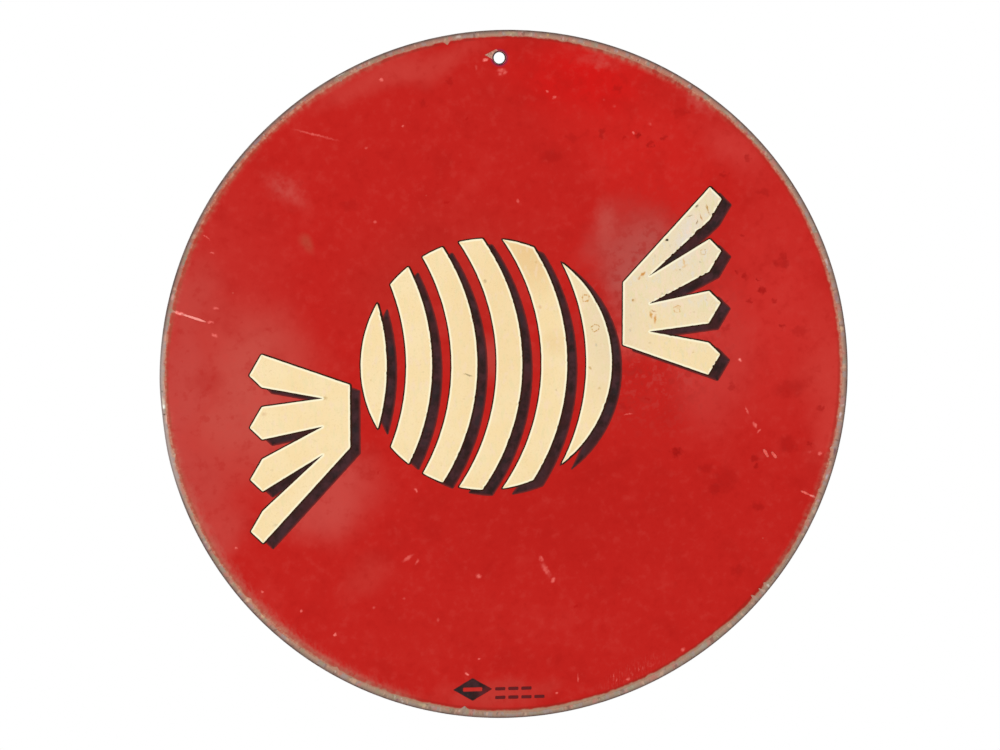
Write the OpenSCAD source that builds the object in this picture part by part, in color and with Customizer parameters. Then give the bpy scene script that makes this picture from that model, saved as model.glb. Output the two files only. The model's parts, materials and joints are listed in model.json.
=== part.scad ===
// Round painted steel sign that hangs by one hole.
// The hole's axis is the origin, its face looks along -Y and +Z is up.
// y = 0 is the back face of the steel, and the coats lie face to face on it.

/* [Steel disc] */
// Diameter of the round blank
disc_d = 285.75; // [270:0.05:330]
// Thickness of the sheet steel
steel_t = 0.95; // [0.75:0.05:2]
// Rounding of the blank's front edge
front_edge_r = 0.45; // [0.1:0.05:0.55]
// Rounding of the blank's back edge
back_edge_r = 0.15; // [0.05:0.05:0.35]
// Diameter of the hanging hole
hole_d = 4.6; // [3:0.01:6.5]
// Distance from the hole's centre to the disc's edge
hole_from_edge = 11.3; // [9:0.1:16]

/* [Coats] */
// Thickness of the ground coat on the front
primer_t = 0.12; // [0.05:0.01:0.25]
// Thickness of the coat on the back
back_t = 0.12; // [0.05:0.01:0.25]
// Thickness of the red coat
red_t = 0.12; // [0.05:0.01:0.25]
// Bare rim between the red coat and the disc's edge
rim_w = 3; // [1:0.1:5]
// Width of steel that the coats leave bare round the hole
hole_bare = 0.4; // [0.2:0.01:1.2]
// Thickness of the black print
black_t = 0.06; // [0.03:0.01:0.15]
// Thickness of the cream print
cream_t = 0.1; // [0.04:0.01:0.2]

/* [Motif] */
// Angle at which the motif climbs to the right
rise = 20; // [0:1:28]
// Clockwise turn of the prints from the line between hole and centre
print_turn = 1.7; // [0:0.1:5]
// Motif's centre, to the left of the disc's centre
motif_left = 9; // [0:0.5:14]
// Motif's centre, above the disc's centre
motif_up = 6; // [0:0.5:12]
// Radius of the round middle
ball_r = 52; // [44:0.5:54]
// Number of stripes on the round middle
stripe_count = 6; // [3:1:7]
// Space between two stripes
stripe_gap = 8; // [6:0.1:11]
// Radius of the stripes' bowed sides
bow_r = 90; // [65:1:150]
// Space between the round middle and each twist
twist_gap = 4.5; // [4.5:0.1:9]
// Length of a twist, to the corners of its pleats
twist_len = 36; // [28:0.5:42]
// Height of a twist at its narrow end
twist_neck = 26; // [16:0.5:30]
// Number of pleats in a twist
pleat_count = 4; // [2:1:5]
// Height of a pleat at its outer end
pleat_h = 13.5; // [9:0.5:16]
// Space between the outer ends of two pleats
pleat_gap = 8; // [5:0.5:11]
// How far the point of a pleat stands out past its corners
pleat_point = 5; // [1:0.5:8]
// Length of the solid neck before the pleats part
neck_len = 11; // [8:0.5:18]
// Sideways offset of the drop shadow
shadow_right = 4.1; // [2:0.1:4.3]
// Downward offset of the drop shadow
shadow_down = 2.5; // [1:0.1:4]
// How far the black print stands out round the cream
black_spread = 0.25; // [0.1:0.01:0.35]

/* [Edge mark] */
// Distance from the lozenge's middle line to the disc's edge
mark_from_edge = 12.7; // [10:0.1:16]
// Lozenge's centre, to the left of the prints' centre line
mark_left = 15; // [8:0.5:20]
// Width of the lozenge
lozenge_w = 16.5; // [10:0.5:20]
// Height of the lozenge
lozenge_h = 9.8; // [6:0.1:12]
// Width of the slot left open in the lozenge
slot_w = 8; // [4:0.5:9]
// Height of the slot
slot_h = 1.6; // [0.8:0.1:2]
// Space between the lozenge and the rows of bars
row_gap = 1.2; // [0.6:0.1:4]
// Number of bars in the upper row
upper_bars = 3; // [1:1:5]
// Number of bars in the lower row
lower_bars = 4; // [1:1:5]
// Length of a bar
bar_w = 4.3; // [2:0.1:5]
// Height of a bar
bar_h = 1.4; // [0.6:0.1:2]
// Space between two bars of a row
bar_gap = 1.2; // [0.6:0.1:2]
// Distance from the middle of the upper row down to the middle of the lower row
row_pitch = 3.7; // [2.6:0.1:4.5]

/* [Hidden] */
$fn = 240;

disc_r = disc_d / 2;
hole_to_centre = disc_r - hole_from_edge;
coat_hole_r = hole_d / 2 + hole_bare;
red_z = steel_t + primer_t;
black_z = red_z + red_t;
cream_z = black_z + black_t;

right = 1;
left = -1;
stripe_pitch = (2 * ball_r + stripe_gap) / stripe_count;
stripe_w = stripe_pitch - stripe_gap;
pleat_pitch = pleat_h + pleat_gap;
pleats_h = pleat_count * pleat_pitch - pleat_gap;
neck_x = ball_r + twist_gap;
notch_x = neck_x + neck_len;
corner_x = neck_x + twist_len;
mark_y = mark_from_edge - disc_r;
rows_x = -mark_left + lozenge_w / 2 + row_gap;
bar_pitch = bar_w + bar_gap;

steel_colour = "#5b4f48";
primer_colour = "#b19d87";
red_colour = "#bd2521";
black_colour = "#3d2f31";
cream_colour = "#f5dcae";

// Places a shape drawn on the disc's face, with the disc's centre at its origin
module on_disc(z = 0) {
    translate([0, 0, -hole_to_centre])
        rotate([90, 0, 0])
            translate([0, 0, z])
                children();
}

// Places a print, drawn as a flat outline, on the disc's face
module print(z, thickness) {
    on_disc(z)
        rotate([0, 0, -print_turn])
            linear_extrude(thickness)
                children();
}

module at_motif() {
    translate([-motif_left, motif_up])
        children();
}

// A round coat with the hanging hole left open
module coat(z, thickness, radius) {
    on_disc(z)
        difference() {
            cylinder(r = radius, h = thickness);
            translate([0, hole_to_centre, -thickness])
                cylinder(r = coat_hole_r, h = 3 * thickness);
        }
}

// Half of the blank's section, with its two rounded corners
module blank_section() {
    square([disc_r - front_edge_r, steel_t]);
    square([disc_r - back_edge_r, steel_t / 2]);
    translate([0, back_edge_r])
        square([disc_r, steel_t - front_edge_r - back_edge_r]);
    translate([disc_r - front_edge_r, steel_t - front_edge_r])
        circle(front_edge_r);
    translate([disc_r - back_edge_r, back_edge_r])
        circle(back_edge_r);
}

module steel_disc() {
    color(steel_colour)
        on_disc()
            difference() {
                rotate_extrude()
                    blank_section();
                translate([0, hole_to_centre, -steel_t])
                    cylinder(d = hole_d, h = 3 * steel_t);
            }
}

module back_coat() {
    color(primer_colour)
        coat(-back_t, back_t, disc_r - back_edge_r);
}

module front_primer() {
    color(primer_colour)
        coat(steel_t, primer_t, disc_r - front_edge_r);
}

module red_field() {
    color(red_colour)
        coat(red_z, red_t, disc_r - rim_w);
}

// One bowed stripe of the round middle, grown all round by spread
module stripe(i, spread) {
    left_x = i * stripe_pitch - ball_r;
    right_x = left_x + stripe_w;
    difference() {
        intersection() {
            circle(ball_r + spread);
            if (i < stripe_count - 1)
                translate([right_x - bow_r, 0])
                    circle(bow_r + spread);
        }
        if (i > 0)
            translate([left_x - bow_r, 0])
                circle(bow_r - spread);
    }
}

module stripes(spread = 0) {
    for (i = [0 : stripe_count - 1])
        stripe(i, spread);
}

// The climb keeps upright edges upright, as a sheared outline
function climb(p) = [p.x, p.y + p.x * tan(rise)];

// Corners of the notch below one pleat and of its outer end, from the bottom up
function pleat(i) =
    let (
        low = i * pleat_pitch - pleats_h / 2,
        share = (low - pleat_gap / 2) / (pleats_h / 2),
        notch_y = share * (twist_neck / 2 + (pleats_h - twist_neck) / 2 * neck_len / twist_len)
    )
    concat(
        i > 0 ? [[notch_x, notch_y]] : [],
        [[corner_x, low], [corner_x + pleat_point, low + pleat_h / 2], [corner_x, low + pleat_h]]
    );

// Outline of a twist that opens to the right, counter-clockwise
right_twist_points = concat(
    [[neck_x, -twist_neck / 2]],
    [for (i = [0 : pleat_count - 1]) each pleat(i)],
    [[neck_x, twist_neck / 2]]
);

function twist_points(side) = [for (p = right_twist_points) climb([side * p.x, side * p.y])];

// Outward normal of the edge from a to b of a counter-clockwise outline
function outward(a, b) = [b.y - a.y, a.x - b.x] / norm(b - a);

// Where the line through p along d meets the line through q along e
function crossing(p, d, q, e) = p + d * cross(q - p, e) / cross(d, e);

// Outline with each edge moved outwards by spread
function grown(points, spread) =
    let (n = len(points))
    [for (i = [0 : n - 1])
        let (
            a = points[(i + n - 1) % n],
            b = points[i],
            c = points[(i + 1) % n]
        )
        crossing(b + spread * outward(a, b), b - a, b + spread * outward(b, c), c - b)];

// Offset copy of a motif's outline
module dropped() {
    translate([shadow_right, -shadow_down])
        children();
}

module twist_shadow(side) {
    color(black_colour)
        print(black_z, black_t)
            at_motif() {
                polygon(grown(twist_points(side), black_spread));
                dropped()
                    polygon(twist_points(side));
            }
}

module twist_cream(side) {
    color(cream_colour)
        print(cream_z, cream_t)
            at_motif()
                polygon(twist_points(side));
}

module shadow_left_twist() {
    twist_shadow(left);
}

module shadow_right_twist() {
    twist_shadow(right);
}

module cream_left_twist() {
    twist_cream(left);
}

module cream_right_twist() {
    twist_cream(right);
}

module shadow_round() {
    color(black_colour)
        print(black_z, black_t)
            at_motif() {
                stripes(black_spread);
                dropped()
                    stripes();
            }
}

module cream_round() {
    color(cream_colour)
        print(cream_z, cream_t)
            at_motif()
                stripes();
}

// A row of plain bars whose middle line lies drop below the lozenge's
module bars(count, drop) {
    for (i = [0 : count - 1])
        translate([rows_x + i * bar_pitch, -drop - bar_h / 2])
            square([bar_w, bar_h]);
}

// A lozenge with an open slot, and two rows of plain bars beside it
module edge_mark() {
    color(black_colour)
        print(black_z, black_t)
            translate([0, mark_y]) {
                translate([-mark_left, 0])
                    difference() {
                        polygon([
                            [-lozenge_w / 2, 0],
                            [0, -lozenge_h / 2],
                            [lozenge_w / 2, 0],
                            [0, lozenge_h / 2]
                        ]);
                        square([slot_w, slot_h], center = true);
                    }
                bars(upper_bars, 0);
                bars(lower_bars, row_pitch);
            }
}

steel_disc();
back_coat();
front_primer();
red_field();
shadow_round();
shadow_left_twist();
shadow_right_twist();
cream_round();
cream_left_twist();
cream_right_twist();
edge_mark();
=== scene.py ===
"""Looks of the round painted steel sign: worn coats and prints on a thin disc, in the model's frame."""
import json
from math import atan2, cos, degrees, pi, radians, sin

import bmesh
import bpy
from mathutils import Matrix, Vector, noise
from mathutils.kdtree import KDTree


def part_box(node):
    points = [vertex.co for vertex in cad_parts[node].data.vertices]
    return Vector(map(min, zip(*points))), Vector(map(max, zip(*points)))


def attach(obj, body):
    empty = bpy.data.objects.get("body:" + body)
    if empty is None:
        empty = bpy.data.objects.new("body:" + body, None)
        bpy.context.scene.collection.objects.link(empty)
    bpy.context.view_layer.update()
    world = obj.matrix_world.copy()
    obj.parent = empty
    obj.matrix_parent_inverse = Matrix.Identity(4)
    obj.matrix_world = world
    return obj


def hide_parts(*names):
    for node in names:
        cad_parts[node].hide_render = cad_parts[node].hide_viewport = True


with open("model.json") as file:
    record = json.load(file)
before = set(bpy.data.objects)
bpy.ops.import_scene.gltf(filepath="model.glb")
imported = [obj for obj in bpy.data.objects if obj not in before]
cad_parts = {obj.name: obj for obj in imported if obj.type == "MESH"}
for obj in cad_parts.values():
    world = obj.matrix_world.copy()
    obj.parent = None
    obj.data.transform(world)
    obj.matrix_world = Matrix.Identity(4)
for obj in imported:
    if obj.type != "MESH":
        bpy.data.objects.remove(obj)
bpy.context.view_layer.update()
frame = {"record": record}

MM = 0.001
FACING = Vector((0, -1, 0))

# Sizes that the frame gives
steel_low, steel_high = (Vector(corner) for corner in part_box("steel_disc"))
red_low, red_high = (Vector(corner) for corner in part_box("red_field"))
DISC_R = (steel_high.z - steel_low.z) / 2
DISC_X = (steel_high.x + steel_low.x) / 2
DISC_Z = (steel_high.z + steel_low.z) / 2
RED_R = (red_high.z - red_low.z) / 2
HOLE_R = frame["record"]["mounts"][0]["dims"]["r_mm"] * MM
DISC_CENTRE = Vector((DISC_X, 0, DISC_Z))
HOLE_CENTRE = Vector((0, 0, 0))

# Roundings of the edges of the blank, its coats and its prints
FRONT_ROUND = 0.45 * MM
BACK_ROUND = 0.15 * MM
COAT_ROUND = 0.04 * MM
PRINT_ROUND = 0.03 * MM

# The ring round the hole that the coats leave bare, and the radius of their own hole
HOLE_BARE = 0.4 * MM
COAT_HOLE_R = HOLE_R + HOLE_BARE

# The dent in the disc's left edge: bearing, half width, depth and the half width of the painted highlight
# round it, where the edge faces the light
DENT_AT = 184
DENT_HALF = 7
DENT_DEPTH = 0.3 * MM
DENT_HIGHLIGHT_HALF = 16

# Points of the long outlines, and the spacing of those of the prints
RIM_POINTS = 2160
HOLE_POINTS = 160
PRINT_STEP = 0.3 * MM

# The photograph's frame, and where the disc stands in it
PHOTO_W = 1000
PHOTO_H = 750
DISC_PX = (508.6, 378.9)
DISC_R_PX = 346.5
CAMERA_SIDE = radians(-6.36)
CAMERA_LIFT = radians(6.84)
CAMERA_ROLL = radians(1.67)
LENS = 100
SENSOR = 36


def make_camera():
    """Stands the camera where the photograph was taken from, left of the disc's axis and above it."""
    pixel = DISC_R / DISC_R_PX
    back = Vector((
        sin(CAMERA_SIDE) * cos(CAMERA_LIFT),
        -cos(CAMERA_SIDE) * cos(CAMERA_LIFT),
        sin(CAMERA_LIFT),
    ))
    right = Vector((cos(CAMERA_SIDE), sin(CAMERA_SIDE), 0))
    turn = Matrix((right, back.cross(right), back)).transposed()
    turn = turn @ Matrix.Rotation(-CAMERA_ROLL, 3, "Z")
    place = Vector((DISC_X, steel_low.y, DISC_Z)) + back * pixel * PHOTO_W * LENS / SENSOR
    place += turn.col[0] * pixel * (PHOTO_W / 2 - DISC_PX[0])
    place += turn.col[1] * pixel * (DISC_PX[1] - PHOTO_H / 2)
    data = bpy.data.cameras.new("camera")
    data.lens = LENS
    data.sensor_width = SENSOR
    data.sensor_fit = "HORIZONTAL"
    camera = bpy.data.objects.new("camera", data)
    bpy.context.scene.collection.objects.link(camera)
    camera.matrix_world = Matrix.Translation(place) @ turn.to_4x4()
    bpy.context.scene.camera = camera
    return place, turn


camera_place, camera_turn = make_camera()


def seen_at(pixel):
    """Point of the red face that the camera sees at a pixel of the photograph."""
    ray = camera_turn @ Vector((
        (pixel[0] - PHOTO_W / 2) / PHOTO_W * SENSOR / LENS,
        (PHOTO_H / 2 - pixel[1]) / PHOTO_W * SENSOR / LENS,
        -1,
    ))
    hit = camera_place + ray * (red_low.y - camera_place.y) / ray.y
    return Vector((hit.x, 0, hit.z))


def bearing(point):
    """Angle in degrees of a point of the disc, counter-clockwise from the viewer's right."""
    return degrees(atan2(point.z - DISC_Z, point.x - DISC_X))


def apart(first, second):
    """Degrees between two bearings."""
    return abs((first - second + 180) % 360 - 180)


def ripple(point, size, seed):
    """Smooth noise from -1 to 1 over the face, with bumps of about the given size."""
    return noise.noise(Vector((point.x / size, point.z / size, seed)))


def new_sheet():
    """Empty mesh whose vertices carry a wear value."""
    bm = bmesh.new()
    bm.verts.layers.float.new("wear")
    return bm


class Outline:
    """Closed loop of vertices on the face, counter-clockwise as the viewer sees it, and the ways out of it.

    The ways out stay those of the loop as it was made, however ragged its edge gets, so that the steps of a
    wall, which lie along them, never cross. Its rooms are the most that each vertex can be set in.
    """

    def __init__(self, loop, ways=None):
        self.loop = loop
        self.rooms = [DISC_R] * len(loop)
        self.ways = ways or [
            (after.co - before.co).cross(FACING).normalized()
            for before, after in zip(loop[-1:] + loop[:-1], loop[1:] + loop[:1])
        ]

    def push_out(self, reach, more_right=0.0):
        """Moves each vertex straight out by reach(place), and the sides that face right further."""
        for vert, way, room in zip(self.loop, self.ways, self.rooms):
            vert.co += way * min(room, reach(vert.co) + more_right * max(0, way.x))
        return self

    def nick(self, size, depth, start, seed):
        """Bites dark nicks into the sides that face right, wherever noise of a size goes over its start."""
        for vert, way in zip(self.loop, self.ways):
            bite = max(0, ripple(vert.co, size, seed) - start)
            vert.co -= way * depth * bite * min(1, max(0, way.x) * 2)
        return self

    def around_hole(self):
        """The same outline turned round, so that the plate lies outside it."""
        return Outline(self.loop[::-1], [-way for way in self.ways[::-1]])


def oval(bm, centre, across, up, turn=0.0, points=20):
    """Oval outline round a centre, with half sizes across and up before it is turned."""
    place = (
        Matrix.Translation(centre)
        @ Matrix.Rotation(-radians(turn), 4, "Y")
        @ Matrix.Diagonal((across, 1, up, 1))
        @ Matrix.Rotation(pi / 2, 4, "X")
    )
    return Outline(bmesh.ops.create_circle(bm, segments=points, radius=1, matrix=place)["verts"])


def rim_round(bm, radius):
    return oval(bm, DISC_CENTRE, radius, radius, points=RIM_POINTS)


def hole_round(bm, radius):
    return oval(bm, HOLE_CENTRE, radius, radius, points=HOLE_POINTS)


def edges_of(bm, loop):
    """Edges along a closed loop of vertices."""
    return [bm.edges.get(pair) for pair in zip(loop, loop[1:] + loop[:1])]


def raise_wall(bm, outline, levels, wear_layer):
    """Carries an outline from the back to the front, over levels of inset, depth and wear value."""
    loop = outline.loop
    starts = [vert.co.copy() for vert in loop]
    for i, (inset, depth, wear) in enumerate(levels):
        if i:
            made = bmesh.ops.extrude_edge_only(bm, edges=edges_of(bm, loop))["geom"]
            fresh = {part for part in made if isinstance(part, bmesh.types.BMVert)}
            loop = [
                next(edge.other_vert(vert) for edge in vert.link_edges if edge.other_vert(vert) in fresh)
                for vert in loop
            ]
        for vert, start, way, room in zip(loop, starts, outline.ways, outline.rooms):
            vert.co = start - way * min(inset, room)
            vert.co.y = depth
            vert[wear_layer] = wear
    return loop


def levels_of(back_y, front_y, front_round, back_round=0.0, steps=3, collar=0.0):
    """Inset, depth and wear value up a plate's edge, which is round, then straight, then round."""
    levels = [(0.0, back_y, 1.0)]
    if back_round:
        turns = [pi / 2 * i / steps for i in range(steps + 1)]
        levels = [(back_round * (1 - sin(a)), back_y - back_round * (1 - cos(a)), 1.0) for a in turns]
    for i in range(steps + 1):
        a = pi / 2 * i / steps
        levels.append((front_round * (1 - cos(a)), front_y + front_round * (1 - sin(a)), 1.0))
    if collar:
        levels.append((front_round + collar, front_y, 0.0))
    return levels


def make_plate(name, bm, walls):
    """Closes a plate between its walls, which are pairs of an outline and the levels it is raised over."""
    wear_layer = bm.verts.layers.float["wear"]
    backs = []
    fronts = []
    for outline, levels in walls:
        backs += edges_of(bm, outline.loop)
        fronts += edges_of(bm, raise_wall(bm, outline, levels, wear_layer))
    for edges, normal in ((backs, -FACING), (fronts, FACING)):
        bmesh.ops.triangle_fill(bm, use_beauty=True, edges=edges, normal=normal)
    bmesh.ops.recalc_face_normals(bm, faces=bm.faces[:])
    for face in bm.faces:
        face.smooth = abs(face.normal.y) < 0.999
    mesh = bpy.data.meshes.new(name)
    bm.to_mesh(mesh)
    bm.free()
    piece = bpy.data.objects.new(name, mesh)
    bpy.context.scene.collection.objects.link(piece)
    return piece


def dress(piece, node, material):
    """Puts a modelled piece in the place of its CAD node."""
    piece.data.materials.append(material)
    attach(piece, "root")
    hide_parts(node)


def depths(node):
    """Back and front depth of a node's plate."""
    low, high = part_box(node)
    return high[1], low[1]


def srgb(text):
    """Linear colour of a hex code as a screen shows it."""
    parts = [int(text[i:i + 2], 16) / 255 for i in (1, 3, 5)]
    return [p / 12.92 if p <= 0.04045 else ((p + 0.055) / 1.055) ** 2.4 for p in parts] + [1.0]


# Depth in metres so great that what is drawn on the face does not depend on depth
DEEP = 1000.0


class Paint:
    """One finish, laid shade over shade, whose patterns lie on the object's own coordinates, in metres."""

    def __init__(self, name, specular, metallic=0.0):
        self.material = bpy.data.materials.new(name)
        self.material.use_nodes = True
        self.tree = self.material.node_tree
        self.shader = self.tree.nodes["Principled BSDF"]
        self.shader.inputs["Specular IOR Level"].default_value = specular
        self.shader.inputs["Metallic"].default_value = metallic
        self.place = self.tree.nodes.new("ShaderNodeTexCoord").outputs["Object"]
        self.colour = None

    def node(self, kind, inputs, **settings):
        """New node with its settings made and its inputs linked or set, by name or number."""
        made = self.tree.nodes.new("ShaderNode" + kind)
        for name, value in settings.items():
            setattr(made, name, value)
        for key, value in inputs.items():
            if isinstance(value, bpy.types.NodeSocket):
                self.tree.links.new(value, made.inputs[key])
            else:
                made.inputs[key].default_value = value
        return made

    def vector(self, operation, first, second=(0, 0, 0)):
        """Vector maths. Length and dot product give a value, the others a vector."""
        made = self.node("VectorMath", {0: first, 1: second}, operation=operation)
        return made.outputs["Value" if operation in ("LENGTH", "DOT_PRODUCT") else "Vector"]

    def maths(self, operation, first, second):
        return self.node("Math", {0: first, 1: second}, operation=operation).outputs[0]

    def both(self, first, second):
        return self.maths("MULTIPLY", first, second)

    def most(self, masks):
        """The strongest of several masks."""
        strongest = masks[0]
        for mask in masks[1:]:
            strongest = self.maths("MAXIMUM", strongest, mask)
        return strongest

    def step(self, value, low, high, out_low=0.0, out_high=1.0):
        """Smooth step from one value to another, either way round."""
        if low > high:
            low, high, out_low, out_high = high, low, out_high, out_low
        return self.node("MapRange", {
            "Value": value,
            "From Min": low,
            "From Max": high,
            "To Min": out_low,
            "To Max": out_high,
        }, interpolation_type="SMOOTHSTEP").outputs[0]

    def away_from(self, centre):
        """Flat vector from a point of the disc."""
        return self.vector("MULTIPLY", self.vector("SUBTRACT", self.place, centre), (1, 0, 1))

    def from_hole(self):
        """Distance from the hanging hole's centre."""
        return self.vector("LENGTH", self.away_from(HOLE_CENTRE))

    def from_edge(self):
        """Distance in from the disc's edge."""
        return self.maths("SUBTRACT", DISC_R, self.vector("LENGTH", self.away_from(DISC_CENTRE)))

    def towards(self, angle, half):
        """Mask of the disc's sector round a bearing, soft from half its width outwards."""
        way = (cos(radians(angle)), 0, sin(radians(angle)))
        lined_up = self.vector("DOT_PRODUCT", self.vector("NORMALIZE", self.away_from(DISC_CENTRE)), way)
        return self.step(lined_up, cos(radians(half)), cos(radians(half / 2)))

    def round_the_rim(self, thinner):
        """Coordinates on which patterns run along the rim, as many times longer than thick as given."""
        way = self.vector("NORMALIZE", self.away_from(DISC_CENTRE))
        reach = self.maths("SUBTRACT", DISC_R, self.both(self.from_edge(), thinner))
        return self.node("VectorMath", {0: way, "Scale": reach}, operation="SCALE").outputs[0]

    def along(self, across, up, turn=0.0):
        """Coordinates on which patterns of size 1 come out as long as given across and up."""
        return self.node("Mapping", {
            "Vector": self.place,
            "Rotation": (0, -radians(turn), 0),
            "Scale": (across, 1, up),
        }, vector_type="TEXTURE").outputs[0]

    def clouds(self, size, seed, detail, roughness, place):
        """Cloudy noise, as a value and as a colour."""
        return self.node("TexNoise", {
            "Vector": place,
            "W": seed,
            "Scale": 1 / size,
            "Detail": detail,
            "Roughness": roughness,
        }, noise_dimensions="4D").outputs

    def patches(self, size, seed, detail=3.0, roughness=0.55, place=None):
        """Cloudy noise from 0 to 1, mostly near 0.5."""
        return self.clouds(size, seed, detail, roughness, place or self.place)["Fac"]

    def drifted(self, size, reach, seed):
        """Coordinates pushed about by up to a reach, so that what is drawn on them comes out ragged."""
        drift = self.clouds(size, seed, 3.0, 0.5, self.place)["Color"]
        centred = self.vector("SUBTRACT", drift, (0.5, 0.5, 0.5))
        return self.vector("ADD", self.place, self.vector("MULTIPLY", centred, (2 * reach,) * 3))

    def specks(self, spacing, radius, share, seed, place=None):
        """Mask of scattered round specks, kept in only a share of the cells."""
        cells = self.node("TexVoronoi", {
            "Vector": place or self.place,
            "W": seed,
            "Scale": 1 / spacing,
        }, voronoi_dimensions="4D")
        inside = self.step(cells.outputs["Distance"], radius / spacing, radius / spacing * 0.5)
        red = self.node("SeparateColor", {0: cells.outputs["Color"]}).outputs[0]
        return self.both(inside, self.maths("LESS_THAN", red, share))

    def nearness(self, centre, across, up, turn=0.0, place=None):
        """Value that falls from 1 at a centre to 0 at an oval of the given half sizes."""
        flat = self.node("Mapping", {
            "Vector": place or self.place,
            "Location": centre,
            "Rotation": (0, -radians(turn), 0),
            "Scale": (across, DEEP, up),
        }, vector_type="TEXTURE").outputs[0]
        return self.node("TexGradient", {"Vector": flat}, gradient_type="SPHERICAL").outputs["Fac"]

    def spot(self, centre, across, up, turn=0.0, core=0.0, place=None):
        """Soft oval mask, 1 inside its core and 0 outside its half sizes."""
        return self.step(self.nearness(centre, across, up, turn, place), 0.0, 1.0 - core)

    def ring(self, centre, radius, place=None):
        """Soft round line, a third of its radius wide."""
        inward = self.nearness(centre, radius * 1.4, radius * 1.4, place=place)
        return self.both(self.step(inward, 0.1, 0.28), self.step(inward, 0.52, 0.32))

    def wear(self):
        """Value that is 1 at a coat's edges and falls to 0 a little way in."""
        return self.node("Attribute", {}, attribute_name="wear").outputs["Fac"]

    def over(self, under, shade, share):
        """A shade laid over another by a share from 0 to 1, each of them a hex code or a socket."""
        under, shade = (srgb(part) if isinstance(part, str) else part for part in (under, shade))
        return self.node("Mix", {0: share, 6: under, 7: shade}, data_type="RGBA").outputs[2]

    def lay(self, shade, share, strength=1.0):
        """Lays a shade over what is there, by a share from 0 to 1 times a strength."""
        if strength != 1.0:
            share = self.both(share, strength)
        self.colour = self.over(self.colour, shade, share)

    def bumps(self, height, distance):
        made = self.node("Bump", {"Height": height, "Distance": distance})
        self.tree.links.new(made.outputs[0], self.shader.inputs["Normal"])

    def finish(self, roughness):
        """The material, with the shades laid and a roughness that varies."""
        self.tree.links.new(self.colour, self.shader.inputs["Base Color"])
        self.tree.links.new(roughness, self.shader.inputs["Roughness"])
        return self.material


# Broad areas of the red coat: pixel of the photograph, half sizes in mm, turn, strength and colour
RED_AREAS = {
    # The paler, pinker areas at the left are a painted sheen of light on the glossy coat, mixed with the worn
    # coat's pale haze there
    "whole_left_sheen": ((205, 320), 50, 100, 0, 0.35, "#be3a33"),
    "left_sheen": ((248, 398), 40, 52, 0, 1.0, "#c24b41"),
    "left_rim_sheen": ((178, 390), 12, 60, 0, 0.6, "#bf4a42"),
    "left_low": ((325, 490), 30, 30, 0, 0.8, "#c64a42"),
    "left_lowest_sheen": ((215, 535), 20, 22, -30, 0.7, "#c4463e"),
    "left_upper_sheen": ((190, 298), 22, 24, 0, 0.8, "#be4038"),
    "left_lower_sheen": ((197, 482), 18, 22, 0, 0.7, "#bf453d"),
    "right_half": ((778, 300), 34, 70, 0, 0.9, "#c82b25"),
    "right_rim": ((838, 400), 20, 62, 0, 0.9, "#c8372f"),
    "right_near": ((715, 360), 26, 50, 0, 0.8, "#c63731"),
    "upper_right": ((640, 140), 56, 30, -35, 0.8, "#cb1f19"),
    "upper_right_rim": ((735, 150), 26, 12, -45, 0.8, "#c8342e"),
    "top": ((585, 80), 40, 18, -8, 0.9, "#cf100d"),
    "top_left": ((395, 72), 56, 10, 12, 0.8, "#c43a32"),
    "middle": ((440, 280), 60, 40, 10, 0.8, "#b6261e"),
    "under_middle": ((500, 355), 22, 14, 10, 0.9, "#bb3d34"),
    "faded": ((632, 262), 24, 34, 0, 1.0, "#b24c45"),
    "faded_below": ((645, 335), 26, 12, 10, 0.9, "#c8473f"),
    "low_middle": ((560, 510), 78, 42, 0, 0.7, "#b71913"),
    "low": ((430, 640), 60, 18, 20, 0.6, "#be1f18"),
    "bottom": ((500, 695), 36, 8, 0, 0.9, "#bd342c"),
    "right_low_rim": ((826, 489), 2.6, 6, 22, 0.7, "#b5605a"),
    "low_left_haze": ((372, 578), 18, 15, 0, 0.5, "#c2362e"),
    "upper_left_smudge": ((305, 243), 7, 4, -35, 0.6, "#b04a36"),
}

# Pale wisps on the red coat: pixel of the photograph, half sizes in mm and turn
RED_WISPS = (
    ((286, 190), 15, 8, -38), ((606, 225), 7, 16, 0), ((655, 305), 8, 8, 0), ((690, 300), 5, 7, 0),
    ((600, 62), 12, 4, -12), ((700, 105), 12, 4, -38),
)

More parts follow.
